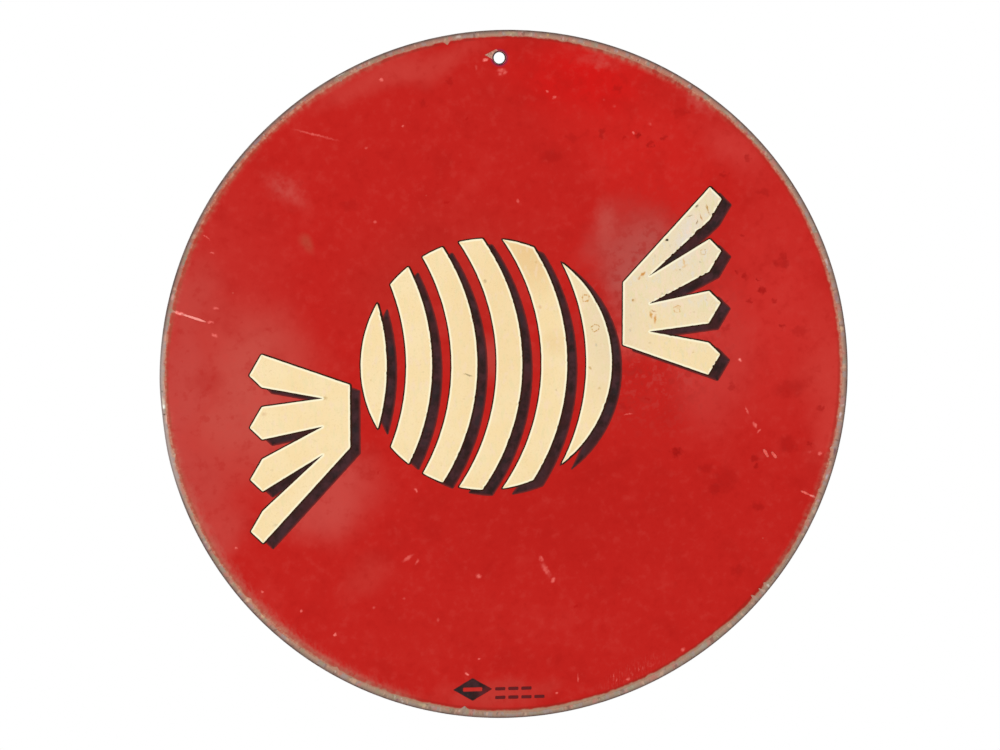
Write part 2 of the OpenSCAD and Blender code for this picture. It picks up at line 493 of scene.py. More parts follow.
# Dark blotches of the red coat: pixel of the photograph, half sizes in mm and strength
RED_BLOTCHES = (
    ((726, 479), 6.6, 8.0, 0.4), ((787, 444), 6.2, 5.2, 0.45), ((755, 458), 2.4, 2.2, 0.6),
    ((756, 466), 1.3, 1.2, 0.8), ((790, 389), 10, 4.6, 0.35), ((618, 88), 2.8, 2.8, 0.45),
    ((601, 134), 2.4, 2.2, 0.5), ((638, 135.5), 1.6, 1.6, 0.8), ((650, 144), 2.0, 1.8, 0.6),
    ((664, 136.5), 1.7, 1.6, 0.6), ((681, 112), 4.5, 3.0, 0.4), ((822, 409), 2.2, 1.8, 0.5),
    ((809, 444), 1.5, 1.4, 0.7), ((731, 386), 2.0, 1.8, 0.5), ((758, 507), 3.0, 2.6, 0.6),
    ((676, 452), 3.0, 2.8, 0.85), ((595, 437), 3.4, 3.2, 0.4), ((618, 380), 2.6, 3.2, 0.5),
    ((589, 373), 2.0, 2.4, 0.5), ((624, 408), 3.0, 2.4, 0.5), ((613, 329), 2.6, 2.4, 0.5),
    ((651, 348), 1.8, 1.8, 0.5), ((664, 344), 1.4, 1.6, 0.6), ((635, 331), 2.4, 1.6, 0.6),
    ((648, 327), 2.6, 1.6, 0.6), ((571, 408), 4.0, 2.4, 0.4), ((551, 157), 6.0, 4.0, 0.35),
    ((573, 138), 4.0, 2.4, 0.35), ((449, 81), 2.6, 2.2, 0.4), ((424, 104), 2.2, 2.0, 0.4),
    ((350, 205), 6.0, 3.0, 0.3), ((722, 254), 2.2, 2.6, 0.6), ((744.5, 276), 1.9, 2.2, 0.8),
    ((736.5, 271), 1.2, 1.0, 0.6), ((749, 300), 1.4, 1.0, 0.7), ((724, 302.5), 2.2, 1.3, 0.6),
    ((758, 279.5), 1.1, 0.9, 0.7), ((783, 257), 1.8, 1.8, 0.5), ((726, 328), 2.2, 2.0, 0.5),
    ((800, 331), 5.0, 3.0, 0.35), ((748, 158), 2.0, 2.0, 0.5), ((762, 290), 2.6, 2.0, 0.8),
    ((724, 174), 2.0, 1.4, 0.5), ((763, 193), 3.0, 2.4, 0.4), ((740.5, 235.5), 1.8, 1.0, 0.5),
    ((774, 300.5), 1.2, 1.2, 0.5), ((782, 263), 4.6, 3.0, 0.5), ((782, 327), 1.8, 1.4, 0.6),
    ((716, 488), 3.6, 4.4, 0.5), ((705, 469), 4.0, 2.6, 0.4), ((738, 570), 3.4, 3.0, 0.4),
)

# Salmon scuffs in the red coat: pixel of the photograph, length and width in mm, turn and strength
RED_SCUFFS = (
    ((178.5, 313.1), 7.0, 1.7, -18, 1.5), ((210.5, 322.3), 4.0, 1.3, -5, 0.7),
    ((215.5, 308), 3.2, 1.6, -8, 0.75), ((214.5, 335.5), 3.4, 1.6, -25, 0.85),
    ((316, 135), 23, 1.3, -16, 0.42), ((212, 253), 2.6, 0.9, -10, 0.6), ((207, 237.5), 4.6, 0.7, -38, 0.6),
    ((485.3, 60), 3.0, 1.5, 12, 1.0), ((476, 67.5), 1.7, 3.2, 0, 0.25), ((501.5, 70.5), 5.0, 2.4, 0, 0.45),
    ((500, 74), 2.4, 2.2, 0, 0.4), ((505, 72.5), 3.0, 1.9, 40, 0.45), ((381, 80), 2.2, 1.6, 0, 0.9),
    ((403, 126), 1.6, 1.4, 0, 0.6), ((366, 148), 2.0, 1.6, 0, 0.35), ((518, 201), 1.4, 2.6, 0, 0.4),
    ((554.3, 97.5), 2.4, 1.4, 50, 0.65), ((547, 91.5), 1.8, 1.4, -50, 0.55),
    ((633.5, 133), 1.7, 1.3, -60, 0.7), ((489, 469), 2.4, 2.0, 0, 0.6), ((416, 490), 2.4, 1.4, -60, 0.7),
    ((478.5, 576), 3.0, 2.6, 0, 0.6), ((374, 608), 2.0, 1.6, 0, 0.3), ((404, 598.5), 1.8, 1.5, 0, 0.35),
    ((438, 620), 1.8, 2.6, 0, 0.35), ((479, 659), 1.8, 1.1, 0, 0.6), ((467, 674.5), 2.6, 1.4, -35, 0.9),
    ((335, 635), 2.2, 1.5, 40, 0.8), ((553, 580), 3.2, 2.4, 60, 0.65), ((546, 570), 9.0, 3.4, -62, 0.4),
    ((541, 559), 3.6, 2.6, -58, 0.45), ((408, 558), 7.0, 2.0, 30, 0.4), ((417, 562), 4.0, 1.4, 55, 0.4),
    ((740, 360), 2.4, 1.6, -50, 0.9), ((755, 425), 4.0, 1.8, -60, 0.65), ((747, 410), 5.0, 1.0, -68, 0.45),
    ((759, 431), 3.0, 1.2, 45, 0.5), ((628, 414), 4.6, 0.9, 3, 0.55), ((607, 416), 0.9, 6.0, 4, 0.3),
    ((820, 453.5), 2.8, 2.2, 0, 0.6), ((810, 452), 3.4, 2.0, 20, 0.2), ((812.5, 496.2), 4.8, 1.3, -25, 1.1),
    ((649.5, 676), 2.6, 0.9, 116, 1.0), ((236, 548), 1.7, 1.3, 0, 0.7), ((375, 222), 2.2, 2.0, 0, 0.4),
    ((614, 106), 2.2, 1.8, 0, 0.2), ((604, 100), 1.8, 1.6, 20, 0.2), ((650, 124), 3.0, 1.6, -30, 0.3),
    ((578, 678), 5.6, 0.8, 90, 0.5), ((613.5, 677), 3.6, 0.8, 95, 0.4), ((616.5, 680), 3.0, 0.8, 95, 0.4),
    ((628, 679), 2.4, 1.5, 10, 0.6), ((639, 669.5), 3.2, 1.0, 95, 0.35), ((643, 668), 2.6, 0.8, 95, 0.3),
    ((652, 665), 5.0, 1.6, 25, 0.2), ((683, 649.5), 3.0, 2.2, 40, 0.5), ((301, 611), 1.6, 1.2, 60, 0.7),
    ((262, 592), 1.6, 1.1, -45, 0.6), ((557, 693), 1.8, 1.2, 0, 0.7),
)

# Half size in metres of a scuff or stain for each mm of its length and width, as its soft edge fades
SCUFF_REACH = 0.58 * MM
STAIN_REACH = 0.62 * MM

# Darker lines just inside the worn edge: bearing and half width in degrees, mm from the rim, strength and
# colour, and how many mm their inner sides fade over
RIM_SHADES = (
    (175, 75, 3.2, 0.6, "#97462e"), (28, 62, 3.7, 0.4, "#96301f"), (86, 36, 3.2, 0.5, "#86231a"),
    (292, 44, 3.8, 0.45, "#7c2a1a"),
)
RIM_SHADE_FADE = 0.8

# How far in from the rim the red coat is worn through
WORN_THROUGH = 2.8 * MM

# Where the red coat is worn thin further in from the rim: bearing and half width in degrees, and strength
THIN_SECTORS = ((62, 16, 0.6), (138, 40, 0.35), (206, 30, 0.35), (234, 20, 0.6), (334, 16, 0.4))

# Where the red coat is sound nearer to the rim, or further in: bearing and half width in degrees, and mm
NARROW_SECTORS = ((72, 56, 0.35), (130, 60, 0.5), (182, 50, 0.45), (321, 14, 0.5), (298, 30, -0.3))

# Stains of the bare rim's ground coat: colour, size in mm, noise at which they start, and strength
RIM_STAINS = (
    ("#9d8f8e", 3.4, 0.5, 0.6), ("#958a70", 3.8, 0.52, 0.6), ("#bd7468", 3.2, 0.53, 0.6),
    ("#d0a88f", 2.4, 0.56, 0.55), ("#77544a", 1.7, 0.58, 0.6), ("#cbbbae", 1.5, 0.63, 0.6),
)

# Casts of the bare rim: bearing and half width in degrees, strength and colour
RIM_CASTS = (
    (285, 64, 0.4, "#928b78"), (134, 44, 0.6, "#ac6a5c"), (186, 24, 0.4, "#d0a08c"),
    (63, 18, 0.4, "#c0705e"),
)

# Spots of the bare rim: pixel of the photograph, size across and along the rim in mm, strength and colour
RIM_SPOTS = (
    ((841.3, 328.9), 1.3, 3.0, 0.7, "#c8aa86"), ((836.8, 320.6), 1.8, 0.8, 0.8, "#dc7c6c"),
    ((835.9, 296.6), 1.6, 4.0, 0.6, "#9a6470"), ((829.4, 273.7), 1.0, 1.2, 0.7, "#7c4a34"),
    ((826.9, 261.9), 1.1, 3.4, 0.75, "#c6b3b6"), ((811.4, 223.1), 1.6, 6.0, 0.5, "#a4968a"),
    ((763.9, 152.3), 1.6, 1.8, 0.7, "#bb5c5a"), ((746.8, 134.0), 1.8, 1.4, 0.75, "#b04a4c"),
    ((728.5, 114.2), 1.4, 5.0, 0.5, "#b59c8c"), ((547.8, 34.9), 1.4, 1.2, 0.7, "#c39f6c"),
    ((509.1, 32.9), 1.4, 5.0, 0.55, "#b3a07a"), ((458.3, 36.8), 1.4, 3.0, 0.7, "#c6bcb0"),
    ((409.6, 47.1), 1.6, 1.6, 0.6, "#8c6450"), ((340.2, 74.5), 1.2, 5.0, 0.8, "#c0bab0"),
    ((257.5, 140.3), 1.4, 6.0, 0.6, "#8e6c74"), ((236.1, 164.7), 1.4, 2.4, 0.6, "#a57a5a"),
    ((172.7, 297.1), 1.4, 3.0, 0.7, "#dfa295"), ((165.3, 337.9), 1.4, 3.4, 0.6, "#d79c88"),
    ((165.0, 387.5), 1.0, 3.6, 0.8, "#dfa79c"), ((162.9, 402.5), 1.9, 5.0, 0.7, "#dccfba"),
    ((163.4, 407.0), 1.9, 2.2, 1.0, "#f8f6ea"), ((164.0, 414.6), 2.2, 1.1, 0.9, "#54402f"),
    ((166.6, 419.5), 1.1, 4.6, 0.85, "#e8b7a6"), ((162.0, 391.5), 1.1, 1.0, 0.7, "#6a6252"),
    ((182.3, 490.2), 1.6, 8.0, 0.5, "#c0705f"), ((205.1, 545.5), 1.1, 5.0, 0.6, "#95707a"),
    ((247.5, 600.5), 1.4, 1.8, 0.85, "#deb294"), ((262.8, 616.4), 1.5, 2.4, 0.75, "#d3b088"),
    ((287.8, 639.5), 1.3, 2.4, 0.6, "#cba08c"), ((397.2, 699.6), 1.2, 1.2, 0.7, "#90506a"),
    ((423.6, 705.1), 1.4, 5.0, 0.6, "#bba882"), ((464.2, 710.3), 2.4, 3.6, 0.6, "#a08f7e"),
    ((497.3, 713.5), 2.2, 0.9, 0.7, "#69504a"), ((556.3, 708.7), 1.2, 6.0, 0.5, "#c29478"),
    ((630.1, 687.5), 1.6, 8.0, 0.5, "#a09682"), ((702.1, 647.2), 1.6, 8.0, 0.5, "#a39884"),
    ((768.0, 585.6), 1.6, 1.4, 0.8, "#cfc4b8"), ((801.9, 532.2), 1.4, 2.0, 0.6, "#a8687a"),
    ((818.1, 500.6), 1.4, 1.6, 0.6, "#b59aa2"), ((826.8, 476.7), 1.3, 3.0, 0.75, "#bfb0b6"),
    ((834.8, 451.2), 1.3, 4.0, 0.75, "#6f4a58"), ((840.5, 414.8), 1.3, 2.4, 0.8, "#cfc0c2"),
    ((842.5, 391.2), 1.4, 3.0, 0.5, "#c98f76"),
)

# Broad areas of the cream print, as for the red coat
CREAM_AREAS = {
    "golden_wide": ((490, 320), 34, 56, 0, 0.5, "#f0d19c"),
    "right_start": ((612, 310), 24, 60, 0, 0.8, "#e7d2ae"),
    "golden": ((530, 246), 19, 26, 0, 0.9, "#eac48b"),
    "golden_low": ((556, 345), 9, 7, 20, 0.6, "#eccb93"),
    "right": ((705, 235), 60, 62, 0, 1.0, "#e9d8b7"),
    "right_grey": ((686, 240), 7, 15, -30, 0.7, "#e4d8cd"),
    "right_pink": ((668, 300), 9, 5, 10, 0.6, "#efd9c2"),
    "stripe_grey": ((609, 340), 2.4, 12, -2, 0.85, "#d6d0c8"),
}

# Stains of the cream print: pixel of the photograph, length and width in mm, turn, strength and colour
CREAM_STAINS = (
    ((264, 414), 2.6, 2.0, 0, 0.4, "#cda274"), ((325, 398), 2.6, 1.8, 0, 0.65, "#bfa066"),
    ((270, 371), 1.8, 0.8, 40, 0.35, "#cfb983"), ((272, 470), 1.7, 1.2, 0, 0.35, "#cfb88c"),
    ((276, 525), 2.4, 1.3, 0, 0.5, "#c8b488"), ((315, 441), 1.2, 1.0, 0, 0.3, "#cdb98a"),
    ((384, 336), 1.6, 1.4, 0, 0.3, "#cbb98c"), ((371, 380), 1.4, 1.0, 0, 0.35, "#d2b77c"),
    ((423, 372), 1.4, 1.0, 0, 0.35, "#cdbb90"), ((464, 399), 1.4, 1.2, 0, 0.35, "#cdb98e"),
    ((485, 281), 1.9, 1.7, 0, 0.7, "#b89f74"), ((468, 375), 4.4, 0.8, -22, 0.9, "#9c8c64"),
    ((505, 330), 1.2, 0.9, 0, 0.35, "#cfb47c"), ((540, 307), 1.6, 2.0, 0, 0.5, "#d5a866"),
    ((555, 330), 3.2, 2.0, 0, 0.35, "#f3cfae"), ((556, 390), 1.2, 1.0, 0, 0.5, "#c4ab7c"),
    ((536, 262), 1.4, 1.1, 0, 0.4, "#c9a468"), ((590, 368), 2.4, 1.2, -40, 0.7, "#bf9a58"),
    ((596, 345), 1.2, 1.6, 0, 0.45, "#b0a898"), ((599, 388), 1.5, 1.2, 0, 0.5, "#c7a468"),
    ((643, 274), 3.2, 1.5, 35, 1.0, "#cf9147"), ((639, 278), 2.0, 1.2, 60, 0.8, "#d8a365"),
    ((633, 300), 1.2, 1.1, 0, 0.95, "#b08c54"), ((634, 300), 2.6, 2.2, 0, 0.3, "#e0b474"),
    ((630, 330), 1.6, 1.0, -60, 0.5, "#b9ad96"), ((631, 316), 0.6, 2.0, 12, 0.5, "#c4b79c"),
    ((651, 315), 1.3, 3.6, 8, 0.9, "#cf963f"), ((655, 319), 1.2, 4.2, -6, 1.0, "#d5974c"),
    ((653.5, 311), 2.6, 0.8, -20, 0.7, "#b67c3e"), ((678, 308), 2.4, 2.0, 0, 0.45, "#e3bd85"),
    ((684, 262), 0.9, 4.0, 4, 0.75, "#e0b071"), ((685, 266), 3.4, 1.0, 30, 0.6, "#e4b981"),
    ((680, 270), 1.2, 0.9, 0, 0.7, "#b49872"), ((676, 270), 2.2, 1.6, 0, 0.3, "#e2c08e"),
    ((697, 206), 2.0, 1.1, 55, 0.9, "#6e6038"), ((690, 216), 2.6, 0.55, 15, 0.85, "#9a8658"),
    ((667, 240), 1.5, 1.1, 10, 1.4, "#2c1c0c"), ((707, 208), 0.9, 3.4, 12, 0.95, "#b98e44"),
    ((709, 213), 1.6, 0.6, -50, 0.7, "#b98c54"), ((701, 217), 0.7, 3.4, 20, 0.8, "#c08540"),
    ((697, 222), 0.55, 2.4, -25, 0.8, "#8f6c3c"), ((655, 256), 0.7, 1.8, 10, 0.45, "#b9ad90"),
    ((670, 246), 0.6, 1.6, 0, 0.4, "#b7ab90"), ((700, 262), 1.2, 0.9, 0, 0.5, "#a9a08c"),
    ((662, 294), 1.2, 1.6, 0, 0.5, "#aeab90"), ((694, 312), 1.3, 1.0, 0, 0.35, "#c3a983"),
    ((650, 343), 1.5, 1.1, 0, 0.4, "#c7ae80"), ((693, 352), 1.4, 1.0, 0, 0.45, "#c9a570"),
    ((706, 300), 1.6, 0.9, -30, 0.4, "#d3b487"),
)

# Rings left by drops on the cream print: pixel of the photograph, radius in mm, strength and colour
CREAM_RINGS = (
    ((595, 328), 1.5, 0.8, "#c79a58"), ((585.5, 298), 1.5, 0.75, "#cf9c58"),
    ((703, 252), 1.2, 0.5, "#d0ac70"), ((677, 309), 1.4, 0.6, "#d6a566"),
)

# Pixels of the photograph at the middle of the red coat's faded part, its upright streaks, its scratch at the
# left, its chip and the pit in it, of the bars of the edge mark, and of the cream's stained part
FADED_PX = (655, 315)
STREAKS_PX = (632, 673)
LEFT_SCRATCH_PX = (190, 317)
CHIP_PX = (657.5, 260)
CHIP_PIT_PX = (658.5, 258)
BARS_PX = (520, 693)
STAINED_PX = (705, 255)


def lay_areas(paint, areas, place):
    """Lays soft areas at the listed places."""
    for pixel, across, up, turn, strength, shade in areas.values():
        area = paint.spot(seen_at(pixel), across * MM, up * MM, turn, core=0.15, place=place)
        paint.lay(shade, area, strength)


def mark(paint, pixel, long, wide, reach, turn, core, place):
    """Mask of a small mark at a pixel, with its length and width in mm and the reach that each mm has."""
    return paint.spot(seen_at(pixel), long * reach, wide * reach, turn, core, place)


def red_enamel():
    """Old red enamel: cloudy, paler at the left with a painted sheen and some worn haze, blotched at the
    right, and worn thin along the rim.
    """
    paint = Paint("red_enamel", specular=0.06)
    broad_drift = paint.drifted(26 * MM, 14 * MM, 3.0)
    small_drift = paint.drifted(2.2 * MM, 3.2 * MM, 4.0)
    cloudy = paint.patches(15 * MM, 7.4, detail=4)
    mottled = paint.patches(3.4 * MM, 4.2, detail=4, roughness=0.6)
    paint.colour = "#be1d17"
    # The areas include the painted sheen at the left
    lay_areas(paint, RED_AREAS, broad_drift)
    lay_clouds(paint, cloudy, mottled, small_drift)
    lay_blotches(paint, mottled, small_drift)
    lay_scuffs(paint)
    lay_rim_shades(paint, mottled)
    lay_worn_rim(paint)
    lay_coat_edges(paint)
    paint.bumps(paint.patches(2.5 * MM, 5.0, detail=2), 0.03 * MM)
    return paint.finish(paint.step(cloudy, 0.3, 0.7, 0.34, 0.48))


def lay_clouds(paint, cloudy, mottled, small_drift):
    """Lays the red coat's clouds, its pale wisps and its mottling, which is stronger where it has faded."""
    paint.lay("#ad150f", paint.step(cloudy, 0.5, 0.72, 0, 0.35))
    paint.lay("#cf4038", paint.step(cloudy, 0.46, 0.28, 0, 0.15))
    wisps = paint.most([
        paint.spot(seen_at(pixel), across * MM, up * MM, turn, place=small_drift)
        for pixel, across, up, turn in RED_WISPS
    ])
    paint.lay("#c9655b", paint.both(wisps, paint.step(mottled, 0.35, 0.7, 0.15, 0.4)))
    paint.lay("#cb4038", paint.step(mottled, 0.5, 0.72, 0, 0.22))
    paint.lay("#ae120c", paint.step(mottled, 0.48, 0.3, 0, 0.3))
    faded = paint.spot(seen_at(FADED_PX), 44 * MM, 60 * MM, core=0.4)
    paint.lay("#a51d18", paint.both(faded, paint.step(mottled, 0.5, 0.62, 0, 0.45)))
    paint.lay("#cd6a62", paint.both(faded, paint.step(mottled, 0.48, 0.38, 0, 0.14)))


def lay_blotches(paint, mottled, small_drift):
    """Lays the red coat's dark blotches and its dark and pale specks."""
    blotches = paint.most([
        paint.both(paint.spot(seen_at(pixel), across * MM, up * MM, core=0.3, place=small_drift), strength)
        for pixel, across, up, strength in RED_BLOTCHES
    ])
    paint.lay("#9c0805", paint.both(blotches, paint.step(mottled, 0.35, 0.6, 0.6, 1.0)))
    paint.lay("#b00c07", paint.specks(8 * MM, 1.1 * MM, 0.35, 2.0, small_drift), 0.6)
    paint.lay("#cf5a4e", paint.specks(8 * MM, 0.5 * MM, 0.3, 5.0), 0.5)


def lay_scuffs(paint):
    """Lays the red coat's salmon scuffs, paler where they are strong, and the streaks beside the rim."""
    drift = paint.drifted(1.1 * MM, 0.75 * MM, 5.0)
    fine = paint.patches(1.1 * MM, 1.7, detail=2)
    scuffs = paint.most([
        paint.both(mark(paint, pixel, long, wide, SCUFF_REACH, turn, 0.1, drift), strength)
        for pixel, long, wide, turn, strength in RED_SCUFFS
    ])
    scuffed = paint.both(scuffs, paint.step(fine, 0.3, 0.6, 0.5, 1.0))
    paint.lay("#e4625a", paint.step(scuffed, 0.0, 0.6))
    paint.lay("#fb978e", paint.step(scuffed, 0.55, 1.05))
    paint.lay("#bd5a4e", lower_left_scuffs(paint), 0.65)
    paint.lay("#cf5a50", bottom_streaks(paint), 0.35)


def lower_left_scuffs(paint):
    """Mask of the scuffs that run in from the rim at the lower left."""
    near_rim = paint.step(paint.from_edge(), 10 * MM, 3.0 * MM)
    streaks = paint.patches(1.0, 2.2, detail=4, roughness=0.65, place=paint.along(1.5 * MM, 3.0 * MM, 12))
    raised = paint.maths("ADD", streaks, paint.both(near_rim, 0.3))
    return paint.both(paint.both(paint.towards(222, 36), near_rim), paint.step(raised, 0.5, 0.85))


def bottom_streaks(paint):
    """Mask of the fine upright streaks inside the rim, right of the bottom."""
    area = paint.spot(seen_at(STREAKS_PX), 22 * MM, 6 * MM, 25, core=0.3)
    streaks = paint.patches(1.0, 3.2, detail=3, roughness=0.6, place=paint.along(0.5 * MM, 2.5 * MM))
    return paint.both(area, paint.step(streaks, 0.52, 0.68))


def lay_rim_shades(paint, mottled):
    """Lays the darker lines just inside the red coat's worn edge."""
    shaded = paint.both(paint.towards(290, 90), paint.step(paint.from_edge(), 5.0 * MM, 4.1 * MM))
    paint.lay("#94170f", shaded, 0.38)
    uneven = paint.step(mottled, 0.4, 0.6, 0.4, 1.0)
    for angle, half, far, strength, shade in RIM_SHADES:
        line = paint.step(paint.from_edge(), (far + RIM_SHADE_FADE) * MM, far * MM)
        paint.lay(shade, paint.both(paint.both(paint.towards(angle, half), line), uneven), strength)


def lay_worn_rim(paint):
    """Lays the ground coat's colours where the red coat is worn thin beside the rim."""
    thin = worn_thin(paint)
    rubbed = paint.patches(1.6 * MM, 9.0, detail=2, place=paint.round_the_rim(0.5))
    shade = paint.over("#b5604e", "#c38870", paint.step(rubbed, 0.4, 0.62))
    shade = paint.over(shade, "#a28c74", paint.both(paint.towards(282, 60), 0.75))
    shade = paint.over(shade, "#ad947c", paint.both(paint.towards(92, 34), 0.6))
    paint.lay(shade, thin)


def worn_thin(paint):
    """Share of the ground coat that shows through the red coat."""
    uneven = paint.patches(2.8 * MM, 8.0)
    pushed = paint.both(paint.maths("SUBTRACT", uneven, 0.5), 1.6 * MM)
    inward = paint.maths("SUBTRACT", paint.from_edge(), pushed)
    for angle, half, further in NARROW_SECTORS:
        inward = paint.maths("ADD", inward, paint.both(paint.towards(angle, half), further * MM))
    edge = paint.both(paint.step(inward, 3.75 * MM, WORN_THROUGH), 0.95)
    sectors = [paint.both(paint.towards(angle, half), share) for angle, half, share in THIN_SECTORS]
    patchy = paint.both(paint.most(sectors), paint.step(uneven, 0.38, 0.62, 0.3, 1))
    return paint.maths("MAXIMUM", edge, paint.both(paint.step(inward, 6.2 * MM, WORN_THROUGH), patchy))


def lay_coat_edges(paint):
    """Lays a painted shade and salmon breaks along the edges of the red coat's losses, and dark rings round
    the hole.
    """
    edge = paint.both(paint.wear(), paint.step(paint.from_edge(), 5.2 * MM, 6.2 * MM))
    flecks = paint.patches(1.7 * MM, 9.0, detail=3, roughness=0.6)
    # Painted shade: the red is darkened in flecks along the broken edges of the chip, the scratches and the
    # hole
    paint.lay("#7c0f0a", paint.both(paint.step(edge, 0.0, 0.5), paint.step(flecks, 0.35, 0.6, 0.25, 0.5)))
    from_hole = paint.from_hole()
    paint.lay("#8c2450", paint.step(from_hole, 4.0 * MM, 3.1 * MM, 0, 0.6))
    paint.lay("#35101f", paint.step(from_hole, 3.3 * MM, 2.8 * MM, 0, 0.9))
    paint.lay("#dc7468", paint.step(paint.maths("ADD", edge, paint.both(flecks, 1.2)), 1.32, 1.56))


def front_ground():
    """Ground coat of the face: greyed towards the disc's edge, salmon beside the red coat, mottled, and with
    a painted highlight at the dent on the left.
    """
    paint = Paint("front_ground_coat", specular=0.1)
    from_edge = paint.from_edge()
    paint.colour = paint.over("#947668", "#b98a74", paint.step(from_edge, 0.8 * MM, 2.4 * MM))
    paint.lay("#c47a64", paint.step(from_edge, 1.9 * MM, 3.2 * MM, 0, 0.75))
    for angle, half, strength, shade in RIM_CASTS:
        paint.lay(shade, paint.towards(angle, half), strength)
    across_rim = paint.round_the_rim(0.5)
    for i, (shade, size, start, strength) in enumerate(RIM_STAINS):
        stain = paint.patches(size * MM, 11.0 + i, detail=2, roughness=0.5, place=across_rim)
        paint.lay(shade, paint.step(stain, start, start + 0.12, 0, strength))
    paint.lay("#7a5f56", paint.step(from_edge, 1.3 * MM, 0.5 * MM, 0, 0.75))
    # Painted highlight: the coat's outer edge is made paler round the dent on the left, as if lit from the
    # left
    pale = paint.both(paint.towards(DENT_AT, DENT_HIGHLIGHT_HALF), paint.step(from_edge, 2.0 * MM, 0.8 * MM))
    paint.lay("#b5a6a0", pale, 0.7)
    drift = paint.drifted(1.1 * MM, 0.5 * MM, 19.0)
    for pixel, across, along, strength, shade in RIM_SPOTS:
        turn = bearing(seen_at(pixel))
        paint.lay(shade, mark(paint, pixel, across, along, STAIN_REACH, turn, 0.2, drift), strength)
    paint.lay("#5a3f35", paint.specks(4 * MM, 0.32 * MM, 0.5, 17.0), 0.7)
    fine = paint.patches(0.9 * MM, 18.0, detail=3, roughness=0.65)
    lay_under_red(paint, from_edge, fine)
    paint.bumps(fine, 0.06 * MM)
    return paint.finish(paint.step(fine, 0.3, 0.7, 0.55, 0.8))


def lay_under_red(paint, from_edge, fine):
    """Lays the ground coat's colours in the chips and scratches that go through the red coat."""
    salmon = paint.over("#f0685e", "#e0544a", paint.step(fine, 0.4, 0.6))
    paint.lay(salmon, paint.step(from_edge, 4.4 * MM, 5.2 * MM))
    paint.lay("#f99a90", paint.spot(seen_at(LEFT_SCRATCH_PX), 8 * MM, 3 * MM, -18, core=0.6))
    from_hole = paint.from_hole()
    tan = paint.over("#d29c88", "#a67864", paint.step(fine, 0.42, 0.58))
    paint.lay(tan, paint.step(from_hole, 6.6 * MM, 6.0 * MM))
    paint.lay("#43222c", paint.step(from_hole, 3.1 * MM, 2.75 * MM, 0, 0.9))
    pale = paint.over("#d99c88", "#b97a68", paint.step(fine, 0.42, 0.58))
    paint.lay(pale, paint.spot(seen_at(CHIP_PX), 3 * MM, 3 * MM, core=0.8))
    paint.lay("#7c3f2c", paint.spot(seen_at(CHIP_PIT_PX), 0.8 * MM, 1.0 * MM, core=0.3))


def back_ground():
    """Ground coat of the back: dull and hazed, freckled with rust, more so near the rim and the hole."""
    paint = Paint("back_ground_coat", specular=0.2)
    broad = paint.patches(38 * MM, 31.0, detail=4, roughness=0.6)
    cloudy = paint.patches(8 * MM, 32.0, detail=4, roughness=0.6)
    fine = paint.patches(0.9 * MM, 35.0, detail=3, roughness=0.65)
    paint.colour = paint.over("#ab9580", "#97867a", paint.step(broad, 0.4, 0.6))
    paint.lay("#b7a08c", paint.step(cloudy, 0.5, 0.68, 0, 0.5))
    paint.lay("#a07d6c", paint.step(cloudy, 0.46, 0.32, 0, 0.5))
    paint.lay("#857464", paint.step(fine, 0.55, 0.75, 0, 0.4))
    rusty = paint.patches(18 * MM, 33.0, detail=7, roughness=0.7)
    pitted = paint.patches(1.6 * MM, 34.0, detail=4, roughness=0.7)
    damp_rim = paint.step(paint.from_edge(), 16 * MM, 1 * MM, 0, 0.12)
    damp_hole = paint.step(paint.from_hole(), 12 * MM, 3 * MM, 0, 0.14)
    damp = paint.maths("MAXIMUM", damp_rim, damp_hole)
    rusting = paint.maths("ADD", paint.maths("ADD", rusty, paint.both(pitted, 0.35)), damp)
    paint.lay("#8d664c", paint.step(rusting, 0.66, 0.8, 0, 0.45))
    rust = paint.step(rusting, 0.74, 0.9)
    paint.lay("#643823", rust, 0.9)
    paint.bumps(fine, 0.06 * MM)
    return paint.finish(paint.step(rust, 0, 1, 0.5, 0.85))


def bare_steel():
    """Dark, oxidised steel of the rim's edge and the hole, with a painted highlight on the edge round the
    dent on the left.
    """
    paint = Paint("bare_steel", specular=0.3, metallic=0.3)
    cloudy = paint.patches(4 * MM, 21.0, detail=4, roughness=0.65)
    fine = paint.patches(0.8 * MM, 22.0, detail=3)
    paint.colour = paint.over("#5b463e", "#7d6a62", paint.step(cloudy, 0.4, 0.65))
    paint.lay("#54311f", paint.step(fine, 0.5, 0.75, 0, 0.6))
    paint.lay("#2c0b1e", paint.spot(HOLE_CENTRE, 6 * MM, 6 * MM, core=0.6))
    # Painted highlight on the steel's edge round the dent, on the side that faces the light
    paint.lay("#a0918b", paint.towards(DENT_AT, DENT_HIGHLIGHT_HALF), 0.7)
    paint.bumps(fine, 0.05 * MM)
    return paint.finish(paint.step(cloudy, 0.3, 0.7, 0.45, 0.65))


